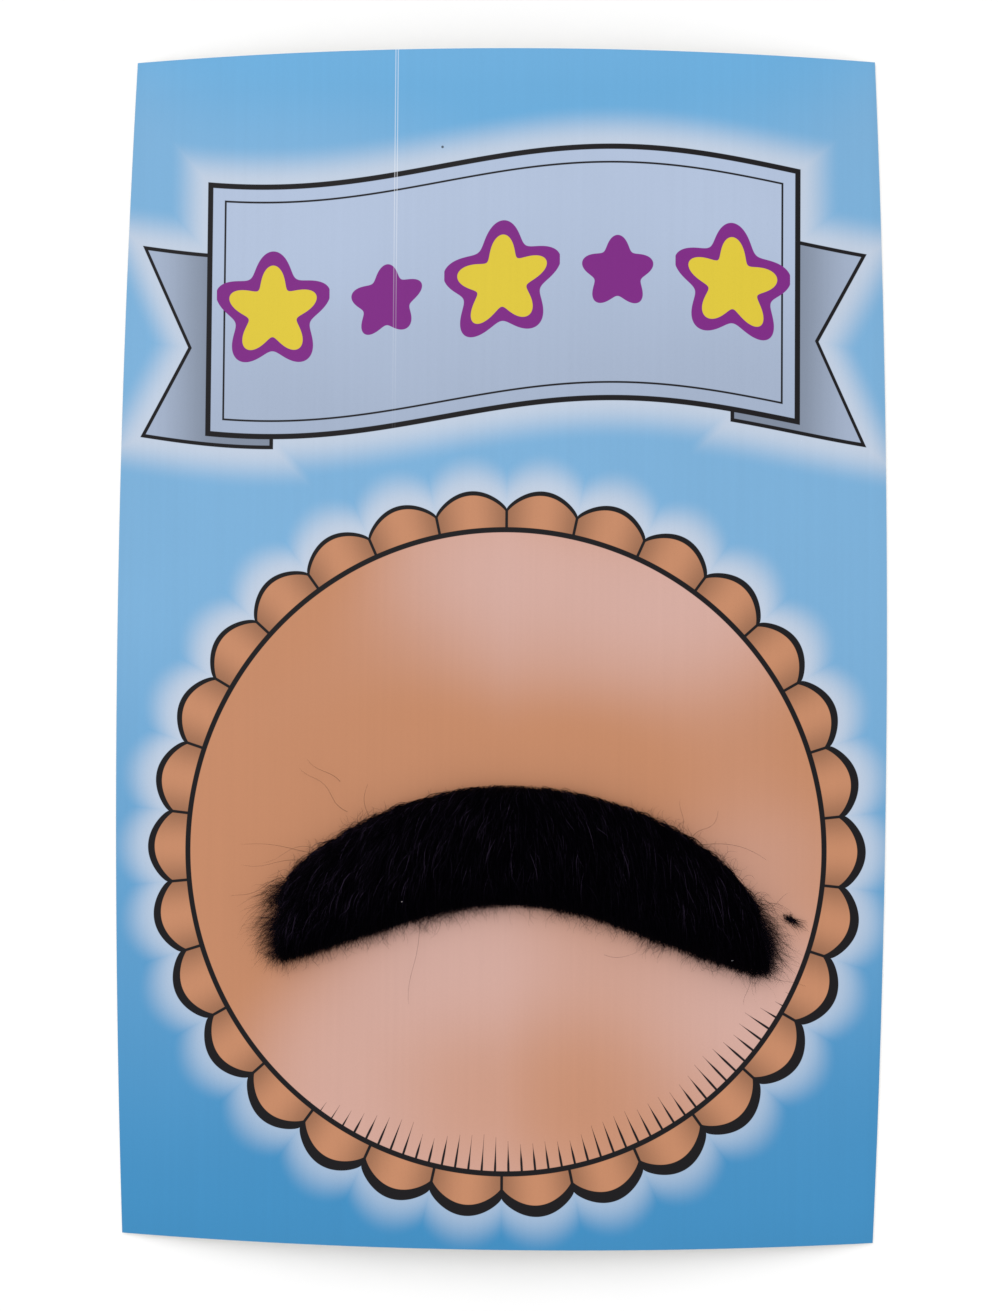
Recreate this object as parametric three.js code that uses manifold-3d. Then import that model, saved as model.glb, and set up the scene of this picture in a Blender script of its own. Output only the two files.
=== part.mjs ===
// A false moustache of black long-pile fabric, stuck on a bowed backing card by a strip of tape.
// Millimetres. The card lies on its back on a table: +X to its right, +Y to its top edge, +Z up.
// The origin is on the table, under the middle of the card.
import * as THREE from "three";
import { mergeVertices } from "three/addons/utils/BufferGeometryUtils.js";
import Module from "manifold-3d";

// Backing card: a thin board that bows up along its middle and stands on its two long edges
const cardWidth = 172;
const cardLength = 272;
const cardThickness = 0.6;
const cardRise = 8;
const sideBulge = 3;
const endBulge = 1.1;
const cardStrips = 15;
const cardSteps = 8;

// Where the moustache lies on the card, from the card's middle to the moustache's middle
const moustacheRight = 3.9;
const moustacheDown = 45.9;
const moustacheTurn = THREE.MathUtils.degToRad(-1.4);

// Moustache outline: an arc above, an arc that runs out into straight flanks below, two cut ends
const moustacheLength = 109;
const middleWidth = 27.4;
const topRise = 23.2;
const bottomRadius = 70;
const flankSlope = THREE.MathUtils.degToRad(18.3);

// Moustache thickness: a knitted backing with the pile lying on it
const backingThickness = 1.2;
const pileDepth = 5.6;
const endFade = 9;
const crestShare = 0.5;
const hemShare = 0.42;
const endShare = 0.55;
const pileSteps = 36;
const pileRows = 7;

// Locks of pile: their size at full width, and how far they fan out towards the ends
const lockSpacing = 5.4;
const lockWidth = 6.2;
const lockThickness = 3;
const endLockThickness = 2.7;
const lockFan = THREE.MathUtils.degToRad(31);
const lockSides = 6;
const lockSteps = 5;

// A lock's bend at its root and its tip as shares of its turn, its width at the tip, how deep it sinks
// into the pile as a share of its thickness, and the least height of its points over the underside
const bendAtRoot = 1.2;
const bendAtTip = 0.8;
const tipWidth = 0.45;
const sinkShare = 0.2;
const lockClearance = 0.2;

// How much the locks differ: shares of their spacing, of the band's width, of their own length and
// thickness, and an angle. The rows stop a share of the length short of the cut ends, and their locks
// get shorter towards them.
const placeSpread = 0.3;
const rootSpread = 0.06;
const lengthSpread = 0.25;
const thicknessSpread = 0.3;
const turnSpread = THREE.MathUtils.degToRad(14);
const rowMargin = 0.045;
const endShortening = 0.3;
const lockSeed = 5;

// Tape between the backing and the card
const tapeThickness = 0.5;
const tapeInset = 5;
const tapeSteps = 24;
const tapeRows = 2;
const seatGap = 0.3;

// Rows of locks from the top edge to the bottom edge. root is where a lock starts, as a share of the
// band's width there, and reach its length as a share of the middle width. width and lift are shares
// of the lock's width and thickness, and shift moves the row sideways by a share of the spacing.
const lockRows = [
  { root: 0.05, reach: 0.52, width: 0.92, lift: 0.3, shift: 0.2 },
  { root: 0.26, reach: 0.52, width: 1, lift: 0.4, shift: 0.7 },
  { root: 0.48, reach: 0.46, width: 1, lift: 0.35, shift: 0.3 },
  { root: 0.7, reach: 0.37, width: 1, lift: 0.1, shift: 0.8 },
];

// Locks that spread past each cut end. down is the place down the end, as a share of its height, and
// reach the length as a share of the middle width. turn is the angle outwards from straight down.
const endLocks = [
  { down: 0.18, reach: 0.5, turn: 70, width: 0.76 },
  { down: 0.35, reach: 0.54, turn: 68, width: 0.84 },
  { down: 0.52, reach: 0.48, turn: 66, width: 0.88 },
  { down: 0.68, reach: 0.35, turn: 62, width: 0.86 },
  { down: 0.8, reach: 0.25, turn: 58, width: 0.8 },
];

const cardHalf = cardWidth / 2;
const bowRadius = (cardHalf ** 2 + cardRise ** 2) / (2 * cardRise);
const bowAngle = Math.asin(cardHalf / bowRadius);

// Half the card's width at y, wider in the middle of its long sides
function halfWidthAt(y) {
  return cardHalf + sideBulge * (1 - (2 * y / cardLength) ** 2);
}

// A point x right and y up along the card's underside and z over it, on the bowed card
function onCard(x, y, z) {
  const half = halfWidthAt(y);
  const turn = (x / half) * bowAngle;
  return [
    (bowRadius + z) * Math.sin(turn) * (half / cardHalf),
    y,
    (bowRadius + z) * Math.cos(turn) - bowRadius + cardRise,
  ];
}

// A point of the moustache's own flat frame, z over its underside, on the card
const moustacheSeat = cardThickness + seatGap + tapeThickness + seatGap;
function onMoustache(x, y, z) {
  const right = x * Math.cos(moustacheTurn) - y * Math.sin(moustacheTurn);
  const up = x * Math.sin(moustacheTurn) + y * Math.cos(moustacheTurn);
  return onCard(right + moustacheRight, up - moustacheDown, z + moustacheSeat);
}

// A closed geometry with each vertex moved to where place puts it
function shaped(source, place) {
  source.deleteAttribute("normal");
  source.deleteAttribute("uv");
  const geometry = mergeVertices(source);
  const position = geometry.getAttribute("position");
  for (let i = 0; i < position.count; i++) {
    position.setXYZ(i, ...place(position.getX(i), position.getY(i), position.getZ(i)));
  }
  return geometry;
}

// A sheet in nu by nv cells: place gets two shares from 0 to 1 across it and one through it
function sheet(nu, nv, place) {
  const block = new THREE.BoxGeometry(1, 1, 1, nu, nv, 1);
  return shaped(block, (x, y, z) => place(x + 0.5, y + 0.5, z + 0.5));
}

const halfLength = moustacheLength / 2;
const topRadius = (halfLength ** 2 + topRise ** 2) / (2 * topRise);
const flankStart = bottomRadius * Math.sin(flankSlope);

// The band's upper edge at x
function topEdge(x) {
  return middleWidth / 2 - topRadius + Math.sqrt(topRadius ** 2 - x ** 2);
}

// The band's lower edge at x
function bottomEdge(x) {
  const across = Math.abs(x);
  if (across < flankStart) {
    return -middleWidth / 2 - bottomRadius + Math.sqrt(bottomRadius ** 2 - across ** 2);
  }
  const flankTop = bottomRadius * (1 - Math.cos(flankSlope));
  return -middleWidth / 2 - flankTop - (across - flankStart) * Math.tan(flankSlope);
}

// How far up the band's own frame the point a share down the band lies at x
function bandY(x, down) {
  return THREE.MathUtils.lerp(topEdge(x), bottomEdge(x), down);
}

// The pile's height over the moustache's underside, at x and a share down the band
function pileHeight(x, down) {
  const fromEnd = THREE.MathUtils.clamp((halfLength - Math.abs(x)) / endFade, 0, 1);
  const along = endShare + (1 - endShare) * Math.sqrt(1 - (1 - fromEnd) ** 2);
  const before = THREE.MathUtils.clamp(down / crestShare, 0, 1);
  const past = THREE.MathUtils.clamp((down - crestShare) / (1 - crestShare), 0, 1);
  const across = Math.sqrt(1 - (1 - before) ** 2) - (1 - hemShare) * past ** 2;
  return backingThickness + pileDepth * across * along;
}

// The card as a board in strips, with its long sides and its ends bulging a little
function cardGeometry() {
  return sheet(cardStrips, cardSteps, (across, along, through) => {
    const side = 2 * across - 1;
    const y = (2 * along - 1) * (cardLength / 2 + endBulge * (1 - side ** 2));
    return onCard(side * halfWidthAt(y), y, through * cardThickness);
  });
}

// The tape as a narrower crescent, inset from the moustache's edges
function tapeGeometry() {
  return sheet(tapeSteps, tapeRows, (across, along, through) => {
    const x = (2 * across - 1) * (halfLength - tapeInset);
    const y = THREE.MathUtils.lerp(bottomEdge(x) + tapeInset, topEdge(x) - tapeInset, along);
    return onMoustache(x, y, (through - 1) * tapeThickness - seatGap);
  });
}

// The backing with its dense pile, a crescent that is round above and hemmed below
function pileGeometry() {
  return sheet(pileSteps, pileRows, (across, along, through) => {
    const x = (2 * across - 1) * halfLength;
    const down = 1 - along;
    return onMoustache(x, bandY(x, down), through * pileHeight(x, down));
  });
}

// One tapered lock from its root at x and a share down the band, leaning outwards and then hanging down
function lockGeometry({ x, down, length, width, thickness, turn, lift }) {
  const ball = new THREE.SphereGeometry(1, lockSides, lockSteps);
  return shaped(ball, (side, axis, face) => {
    const t = (1 - axis) / 2;
    const bend = turn * THREE.MathUtils.lerp(bendAtRoot, bendAtTip, t);
    const taper = THREE.MathUtils.lerp(1, tipWidth, t);
    const centreX = x + length * t * Math.sin(bend);
    const centreY = bandY(x, down) - length * t * Math.cos(bend);
    const right = centreX + side * taper * (width / 2) * Math.cos(bend);
    const up = centreY + side * taper * (width / 2) * Math.sin(bend);
    const held = THREE.MathUtils.clamp(centreX, -halfLength, halfLength);
    const share = (topEdge(held) - centreY) / (topEdge(held) - bottomEdge(held));
    const pile = pileHeight(held, THREE.MathUtils.clamp(share, 0, 1));
    const rise = lift * Math.sin(Math.PI * t) + thickness * ((face * taper) / 2 - sinkShare);
    return onMoustache(right, up, Math.max(pile + rise, lockClearance));
  });
}

// A random amount, up to half of spread either way
function vary(spread) {
  return spread * (THREE.MathUtils.seededRandom() - 0.5);
}

// The locks over the face of the band, row by row
function faceLocks() {
  THREE.MathUtils.seededRandom(lockSeed);
  const count = Math.round(moustacheLength / lockSpacing);
  return lockRows.flatMap((row) =>
    Array.from({ length: count }, (_, i) => {
      const step = (i + row.shift + vary(placeSpread)) / count;
      const side = 2 * THREE.MathUtils.clamp(step, rowMargin, 1 - rowMargin) - 1;
      return {
        x: side * halfLength,
        down: row.root + vary(rootSpread),
        length: middleWidth * row.reach * (1 - endShortening * Math.abs(side)) * (1 + vary(lengthSpread)),
        width: lockWidth * row.width,
        thickness: lockThickness * (1 + vary(thicknessSpread)),
        turn: lockFan * side + vary(turnSpread),
        lift: lockThickness * row.lift,
      };
    }),
  );
}

// The locks that fan out past both cut ends
function sideLocks() {
  return [-1, 1].flatMap((side) =>
    endLocks.map((lock) => ({
      x: side * (halfLength - endFade),
      down: lock.down,
      length: middleWidth * lock.reach,
      width: lockWidth * lock.width,
      thickness: endLockThickness,
      turn: side * THREE.MathUtils.degToRad(lock.turn),
      lift: 0,
    })),
  );
}

const wasm = await Module();
wasm.setup();

function solid(geometry) {
  const mesh = new wasm.Mesh({
    numProp: 3,
    vertProperties: new Float32Array(geometry.getAttribute("position").array),
    triVerts: new Uint32Array(geometry.getIndex().array),
  });
  return new wasm.Manifold(mesh);
}

// The pile with every lock joined to it, as one geometry. Small pockets that locks close in between
// them are filled, so only the largest shell is kept.
function moustacheGeometry() {
  let fur = solid(pileGeometry());
  for (const lock of [...faceLocks(), ...sideLocks()]) {
    fur = fur.add(solid(lockGeometry(lock)));
  }
  const [outer] = fur.decompose().sort((a, b) => b.volume() - a.volume());
  const { vertProperties, triVerts } = outer.getMesh();
  const geometry = new THREE.BufferGeometry();
  geometry.setAttribute("position", new THREE.BufferAttribute(vertProperties, 3));
  geometry.setIndex(new THREE.BufferAttribute(triVerts, 1));
  return geometry;
}

function part(name, geometry, color, roughness) {
  const mesh = new THREE.Mesh(geometry, new THREE.MeshStandardMaterial({ color, roughness, metalness: 0 }));
  mesh.name = name;
  return mesh;
}

const cardedMoustache = new THREE.Group();
const moustache = new THREE.Group();
moustache.add(
  part("adhesive_tape", tapeGeometry(), "#e9e4d6", 0.6),
  part("moustache_fur", moustacheGeometry(), "#0a090c", 0.85),
);
cardedMoustache.add(part("backing_card", cardGeometry(), "#6fb2dd", 0.45), moustache);

export default cardedMoustache;
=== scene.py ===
"""A false moustache of black long pile, stuck on its bowed and printed backing card.

The file is laid out as an add-on and run as a script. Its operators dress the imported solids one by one,
in metres, with the card on its back on a table, +Y to its top edge and +Z up.
"""

import contextlib
import math

import bmesh
import bpy
import numpy as np
from bpy.props import FloatProperty, FloatVectorProperty, IntProperty, PointerProperty
from mathutils import Matrix, Vector


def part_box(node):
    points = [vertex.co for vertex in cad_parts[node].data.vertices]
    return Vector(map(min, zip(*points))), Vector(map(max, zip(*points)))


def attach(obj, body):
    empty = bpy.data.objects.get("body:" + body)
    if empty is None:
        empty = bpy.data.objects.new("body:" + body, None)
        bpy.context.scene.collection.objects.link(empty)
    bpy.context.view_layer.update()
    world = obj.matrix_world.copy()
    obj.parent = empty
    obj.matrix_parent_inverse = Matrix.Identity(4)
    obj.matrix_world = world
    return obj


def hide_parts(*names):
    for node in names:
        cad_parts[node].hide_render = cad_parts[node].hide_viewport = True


bl_info = {
    "name": "Carded false moustache",
    "version": (1, 0, 0),
    "blender": (4, 5, 0),
    "location": "3D View > Sidebar > Moustache",
    "description": "Builds a long-pile false moustache on its printed backing card",
    "category": "Add Mesh",
}

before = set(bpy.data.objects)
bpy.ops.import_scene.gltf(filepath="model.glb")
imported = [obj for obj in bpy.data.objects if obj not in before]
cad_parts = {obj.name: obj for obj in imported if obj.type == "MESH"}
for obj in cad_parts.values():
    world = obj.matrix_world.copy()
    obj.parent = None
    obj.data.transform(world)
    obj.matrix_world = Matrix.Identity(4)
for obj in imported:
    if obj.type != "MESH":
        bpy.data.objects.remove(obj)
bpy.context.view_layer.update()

MM = 0.001
BODY = "root"


# Settings


def srgb(red, green, blue):
    """A screen colour, 0 to 255 a channel, as the linear colour that a shader takes."""
    shares = (channel / 255 for channel in (red, green, blue))
    return tuple(s / 12.92 if s <= 0.04045 else ((s + 0.055) / 1.055) ** 2.4 for s in shares)


def size(name, description, default):
    settings = {"min": 0, "unit": "LENGTH", "precision": 5}
    return FloatProperty(name=name, description=description, default=default, **settings)


def angle(name, description, degrees):
    return FloatProperty(name=name, description=description, default=math.radians(degrees), subtype="ANGLE")


def share(name, description, default):
    return FloatProperty(name=name, description=description, default=default, min=0, max=2, subtype="FACTOR")


def colour(name, description, default):
    return FloatVectorProperty(name=name, description=description, default=default, size=3, subtype="COLOR")


class CardSettings(bpy.types.PropertyGroup):
    """The backing card's board and the colours of its print."""

    width: size("Width", "Corner to corner across the card", 172 * MM)
    length: size("Length", "Corner to corner down the card", 272 * MM)
    thickness: size("Thickness", "Thickness of the board", 0.6 * MM)
    rise: size("Bow", "How far the card's middle stands over the table", 8 * MM)
    side_bulge: size("Side bulge", "How far each long side swells past its corners", 3 * MM)
    end_bulge: size("End bulge", "How far each short side swells past its corners", 1.1 * MM)
    edge_round: size("Edge rounding", "Rounding of the cut edges", 0.06 * MM)
    strips: IntProperty(name="Strips", description="Steps across the bow", default=56, min=8)
    rows: IntProperty(name="Rows", description="Steps down the card", default=32, min=4)
    sky_top: colour("Upper blue", "Ground colour at the card's upper half", srgb(123, 177, 219))
    sky_crown: colour("Crown blue", "Ground colour at the middle of the upper edge", srgb(104, 172, 220))
    sky_low: colour("Lower blue", "Ground colour at the card's lower edge", srgb(62, 143, 196))
    halo: colour("Halo", "Soft glow round the printed shapes", srgb(201, 211, 227))
    ribbon: colour("Ribbon", "Pale steel blue of the ribbon", srgb(173, 188, 213))
    peach_light: colour("Light peach", "Lighter tone of the rosette", srgb(216, 174, 163))
    peach_deep: colour("Deep peach", "Deeper tone of the rosette", srgb(199, 138, 102))
    purple: colour("Purple", "Flowers", srgb(126, 31, 132))
    yellow: colour("Yellow", "Flower centres", srgb(225, 201, 56))
    ink: colour("Ink", "Near-black of the outlines", srgb(6, 2, 8))
    print_depth: share("Print depth", "Factor on all the print's colours", 0.8)


class MoustacheSettings(bpy.types.PropertyGroup):
    """The moustache's place on the card and the outline and depth of its pile."""

    right: size("Right", "From the card's middle to the moustache's middle", 3.9 * MM)
    down: size("Down", "From the card's middle down to the moustache's middle", 45.9 * MM)
    turn: angle("Turn", "How the moustache is turned on the card", -1.4)
    seat: size("Seat", "Height of the moustache's underside over the card's underside", 1.7 * MM)
    length: size("Length", "Between the two cut ends", 109 * MM)
    middle_width: size("Middle width", "Width of the band in its middle", 27.4 * MM)
    top_rise: size("Top rise", "How far the upper edge rises over its ends", 23.2 * MM)
    bottom_radius: size("Lower radius", "Radius of the lower edge in its middle", 70 * MM)
    flank_slope: angle("Flank slope", "Slope of the lower edge's straight flanks", 18.3)
    backing: size("Backing", "Thickness of the knitted backing", 1.2 * MM)
    depth: size("Pile depth", "Depth of the pile over the backing", 5.6 * MM)
    end_fade: size("End fade", "Length over which the pile thins to each end", 9 * MM)
    end_share: share("End depth", "Pile depth at the ends, as a share", 0.55)
    crest: share("Crest", "Where the pile is deepest, as a share down the band", 0.5)
    hem_share: share("Hem depth", "Pile depth at the lower edge, as a share", 0.42)
    left_trim: size("Left trim", "How far the left end is trimmed at its upper corner", 3.1 * MM)
    left_slant: size("Left slant", "How far the left end slants out to its lower corner", 0.9 * MM)
    right_slant: size("Right slant", "How far the right end slants out to its lower corner", 3.8 * MM)
    sag: size("Sag", "How much lower the left end hangs than the right one", 3.1 * MM)
    shoulder: size("Shoulder", "How far the upper edge falls away a tenth before each end", 0.8 * MM)
    left_corner: size("Left corner", "How far the lower edge is rounded up at the left end", 2.4 * MM)
    right_corner: size("Right corner", "How far the lower edge is rounded up at the right end", 0.6 * MM)


class PileSettings(bpy.types.PropertyGroup):
    """The single hairs of the moustache."""

    tufts_along: IntProperty(name="Tufts along", description="Tufts in a row", default=62, min=1)
    tufts_down: IntProperty(name="Rows of tufts", description="Rows from edge to edge", default=18, min=1)
    hairs: IntProperty(name="Hairs", description="Hairs in a tuft", default=20, min=1)
    length: size("Hair length", "Length of a full hair", 11 * MM)
    radius: size("Hair radius", "Radius of a full hair", 0.062 * MM)
    fine: size("Fine radius", "Radius of the fine hairs at the edges", 0.036 * MM)
    wave: size("Wave", "How far the hairs wave from side to side", 0.40 * MM)
    spread: size("Tuft spread", "Radius of a tuft at its root", 1.5 * MM)
    fan_left: angle("Left fan", "Outward lean of the hairs at the left end", 34)
    fan_right: angle("Right fan", "Outward lean of the hairs at the right end", 13)
    end_flare: angle("End flare", "Extra outward lean of the hairs at the lower corners", 18)
    parting: angle("Parting", "Extra lean on both sides of the middle, at the upper edge", 24)
    parting_width: size("Parting width", "How far the parting reaches", 14 * MM)
    nap: angle("Nap", "Extra outward lean of the short hairs at the upper edge", 38)
    nap_share: share("Nap share", "How far the nap reaches, as a share down the band", 0.14)
    lean_limit: angle("Lean limit", "The most that a tuft leans to either side", 56)
    tuft_jitter: angle("Tuft jitter", "How far the tufts differ in their lean", 8)
    jitter: angle("Jitter", "How far the hairs of a tuft differ in their lean", 8)
    loose_share: share("Loose hairs", "Share of the hairs that lift off the pile", 0.12)
    seed: IntProperty(name="Seed", description="Seed of the random lie of the hairs", default=11)
    shadow: colour("Dark hairs", "Colour of the darkest hairs", (0.0006, 0.0003, 0.0014))
    # gleam: the colour towards which painted highlights lighten the hairs, and the lighter tone of some fine
    # hairs
    gleam: colour("Light hairs", "Colour of the lightest hairs", (0.042, 0.030, 0.056))


class StageSettings(bpy.types.PropertyGroup):
    """The floor, the light and the camera."""

    floor: colour("Floor", "Colour of the floor", (0.86, 0.86, 0.86))
    sky: FloatProperty(name="Sky", description="Strength of the light from all round", default=1.0, min=0)
    key: FloatProperty(name="Key light", description="Strength of the light from the top", default=0.9, min=0)
    key_width: angle("Key width", "Width of the key light in the sky", 50)
    lens: FloatProperty(name="Lens", description="Focal length", default=65.23, min=1, unit="CAMERA")
    roll: angle("Roll", "Turn of the camera about its view", 0.44)


# The card's bow and the moustache's band


class Bow:
    """The bowed card, on which points given flat on its underside are placed."""

    def __init__(self, card):
        self.half = card.width / 2
        self.length = card.length
        self.rise = card.rise
        self.side_bulge = card.side_bulge
        self.radius = (self.half**2 + card.rise**2) / (2 * card.rise)
        self.angle = math.asin(self.half / self.radius)

    def half_at(self, y):
        return self.half + self.side_bulge * (1 - (2 * y / self.length) ** 2)

    def place(self, x, y, z):
        half = self.half_at(y)
        turn = x / half * self.angle
        across = (self.radius + z) * np.sin(turn) * half / self.half
        up = (self.radius + z) * np.cos(turn) - self.radius + self.rise
        return np.stack(np.broadcast_arrays(across, y, up), axis=-1)


class Band:
    """The moustache's crescent in its own flat frame, and its place on the card."""

    def __init__(self, scene):
        self.bow = Bow(scene.moustache_card)
        self.shape = scene.moustache_shape
        self.half = self.shape.length / 2
        self.top_radius = (self.half**2 + self.shape.top_rise**2) / (2 * self.shape.top_rise)
        self.flank_start = self.shape.bottom_radius * math.sin(self.shape.flank_slope)
        self.card_front = scene.moustache_card.thickness - self.shape.seat

    def sag(self, x):
        return self.shape.sag * np.clip(-x / self.half - 0.12, 0, 1)

    def top(self, x):
        inside = np.minimum(np.abs(x), self.top_radius * 0.999)
        arc = np.sqrt(self.top_radius**2 - inside**2) - self.top_radius
        shoulder = self.shape.shoulder * np.clip((np.abs(x) / self.half - 0.78) / 0.12, 0, 2) ** 1.5
        return arc + self.shape.middle_width / 2 - self.sag(x) - shoulder

    def bottom(self, x):
        shape = self.shape
        across = np.abs(x)
        inside = np.minimum(across, self.flank_start)
        arc = np.sqrt(shape.bottom_radius**2 - inside**2) - shape.bottom_radius
        flank = (across - inside) * math.tan(shape.flank_slope)
        corner = np.where(x < 0, shape.left_corner, shape.right_corner)
        corner = corner * np.clip((across / self.half - 0.88) / 0.13, 0, 2) ** 2
        return arc - shape.middle_width / 2 - flank - self.sag(x) * 0.5 + corner

    def y_at(self, x, down):
        return self.top(x) + (self.bottom(x) - self.top(x)) * down

    def down_at(self, x, y):
        return (self.top(x) - y) / (self.top(x) - self.bottom(x))

    def end(self, x, down):
        """How far out the hairs are cut: both ends slant outwards to their lower corners."""
        shape = self.shape
        down = np.clip(down, 0, 1)
        left = shape.left_slant * down**0.6 - shape.left_trim
        return self.half + np.where(x < 0, left, shape.right_slant * down**1.3)

    def height(self, x, down):
        """How high the pile stands over the moustache's underside."""
        shape = self.shape
        from_end = np.clip((self.half - np.abs(x)) / shape.end_fade, 0, 1)
        along = shape.end_share + (1 - shape.end_share) * np.sqrt(1 - (1 - from_end) ** 2)
        before = np.clip(down / shape.crest, 0, 1)
        past = np.clip((down - shape.crest) / (1 - shape.crest), 0, 1)
        across = np.sqrt(1 - (1 - before) ** 2) - (1 - shape.hem_share) * past**2
        return shape.backing + shape.depth * across * along

    def place(self, x, y, z):
        turn = self.shape.turn
        right = x * math.cos(turn) - y * math.sin(turn) + self.shape.right
        up = x * math.sin(turn) + y * math.cos(turn) - self.shape.down
        return self.bow.place(right, up, z + self.shape.seat)


# Node graphs


def arithmetic(operation):
    """A method that joins a number to another value by one operation of the math node."""
    return lambda number, other: number.graph.math(operation, number, other)


class Number:
    """A number in a node graph, on which plain arithmetic builds further nodes."""

    __add__ = __radd__ = arithmetic("ADD")
    __mul__ = __rmul__ = arithmetic("MULTIPLY")
    __sub__ = arithmetic("SUBTRACT")
    __truediv__ = arithmetic("DIVIDE")
    __pow__ = arithmetic("POWER")

    def __init__(self, graph, socket):
        self.graph = graph
        self.socket = socket

    def __rsub__(self, other):
        return self.graph.math("SUBTRACT", other, self)

    def __abs__(self):
        return self.graph.math("ABSOLUTE", self)


class Graph:
    """A material's node tree, built by short calls."""

    def __init__(self, name, roughness, specular=0.5):
        self.material = bpy.data.materials.new(name)
        self.material.use_nodes = True
        self.tree = self.material.node_tree
        self.shader = self.tree.nodes["Principled BSDF"]
        self.shader.inputs["Roughness"].default_value = roughness
        self.shader.inputs["Specular IOR Level"].default_value = specular
        self.object_place = self.tree.nodes.new("ShaderNodeTexCoord").outputs["Object"]

    def feed(self, socket, value):
        if isinstance(value, Number):
            self.tree.links.new(value.socket, socket)
        elif isinstance(value, bpy.types.NodeSocket):
            self.tree.links.new(value, socket)
        elif socket.type == "RGBA":
            socket.default_value = (*value[:3], 1)
        else:
            socket.default_value = value

    def node(self, kind, inputs, **settings):
        node = self.tree.nodes.new(kind)
        for name, value in settings.items():
            setattr(node, name, value)
        for key, value in inputs.items():
            self.feed(node.inputs[key], value)
        return node

    def math(self, operation, *values):
        node = self.node("ShaderNodeMath", dict(enumerate(values)), operation=operation)
        return Number(self, node.outputs[0])

    def joined(self, operation, first, *others):
        for other in others:
            first = self.math(operation, first, other)
        return first

    def least(self, *values):
        return self.joined("MINIMUM", *values)

    def most(self, *values):
        return self.joined("MAXIMUM", *values)

    def ramp(self, value, start, end, low=0.0, high=1.0):
        """low up to start, high from end on, and a smooth step in between."""
        inputs = {"Value": value, "From Min": start, "From Max": end, "To Min": low, "To Max": high}
        node = self.node("ShaderNodeMapRange", inputs, interpolation_type="SMOOTHSTEP")
        return Number(self, node.outputs["Result"])

    def inside(self, distance, soft=0.14):
        """1 where a signed distance is below 0."""
        return self.ramp(distance, -soft / 2, soft / 2, 1.0, 0.0)

    def line(self, distance, width):
        """1 along the edge of a shape, in a line of that width."""
        return self.inside(abs(distance) - width * 0.5)

    def mix(self, factor, below, above, blend="MIX"):
        node = self.tree.nodes.new("ShaderNodeMix")
        node.data_type = "RGBA"
        node.blend_type = blend
        for index, value in ((0, factor), (6, below), (7, above)):
            self.feed(node.inputs[index], value)
        return node.outputs[2]

    def scaled(self, scale):
        """The place in the object, times a scale along each axis."""
        inputs = {"Vector": self.object_place, "Scale": scale}
        return self.node("ShaderNodeMapping", inputs).outputs["Vector"]

    def split(self, vector):
        node = self.node("ShaderNodeSeparateXYZ", {"Vector": vector})
        return [Number(self, socket) for socket in node.outputs]

    def noise(self, scale, detail=2.0, roughness=0.5, stretch=(1, 1, 1)):
        """Noise over the place in the object, drawn out along an axis that is stretched by less than 1."""
        place = self.scaled(stretch)
        inputs = {"Vector": place, "Scale": scale, "Detail": detail, "Roughness": roughness}
        return Number(self, self.node("ShaderNodeTexNoise", inputs).outputs["Fac"])

    def bump(self, height, strength, distance):
        node = self.node("ShaderNodeBump", {"Height": height, "Strength": strength, "Distance": distance})
        self.feed(self.shader.inputs["Normal"], node.outputs["Normal"])

    def finish(self, base, roughness=None):
        self.feed(self.shader.inputs["Base Color"], base)
        if roughness is not None:
            self.feed(self.shader.inputs["Roughness"], roughness)
        return self.material


# The print, in millimetres from the card's middle


def tinted(colour, factor):
    return tuple(channel * factor for channel in colour)


def sky(g, card, x, y):
    """The blue ground, deeper towards the card's foot and in the middle of its upper edge."""
    drift = g.noise(9, 1) - 0.5
    ground = g.mix(g.ramp(y + drift * 60, -138, 20), card.sky_low, card.sky_top)
    return g.mix(g.ramp(y - abs(x) * 0.3 + drift * 40, 92, 122), ground, card.sky_crown)


class Ribbon:
    """A wavy ribbon with two notched tails behind it and five flowers on it."""

    middle, wave, wavelength = 81, 4.5, 157
    half_width, half_height = 68, 29
    tail_reach, tail_drop, tail_half_height, tail_overlap, notch_depth = 83.5, 9.5, 22, 15, 11
    flower_pitch, flower_size, small_flower_size = 26.5, 14.0, 8.5
    petals, petal_depth = 5, 0.17

    def __init__(self, g, x, y):
        self.rise = y - g.math("SINE", x * (2 * math.pi / self.wavelength) + 0.5) * self.wave - self.middle
        self.front = g.most(abs(x) - self.half_width, abs(self.rise) - self.half_height)
        low = self.rise + self.tail_drop
        notch = self.notch_depth - abs(low) * 0.5
        inner = self.half_width - self.tail_overlap
        outer = abs(x) + notch - self.tail_reach
        self.tails = g.most(outer, inner - abs(x), abs(low) - self.tail_half_height)
        self.nearest = g.least(self.front, self.tails)

        number = g.math("ROUND", x / self.flower_pitch)
        across = x - number * self.flower_pitch
        self.small = g.math("PINGPONG", number, 1)
        reach = g.math("SQRT", across * across + self.rise * self.rise)
        petal = g.math("COSINE", g.math("ARCTAN2", across, self.rise) * self.petals)
        radius = self.flower_size - self.small * (self.flower_size - self.small_flower_size)
        self.flower = reach - radius * (petal * self.petal_depth + (1 - self.petal_depth))
        self.within = g.math("LESS_THAN", abs(number), 2.5)


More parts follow.
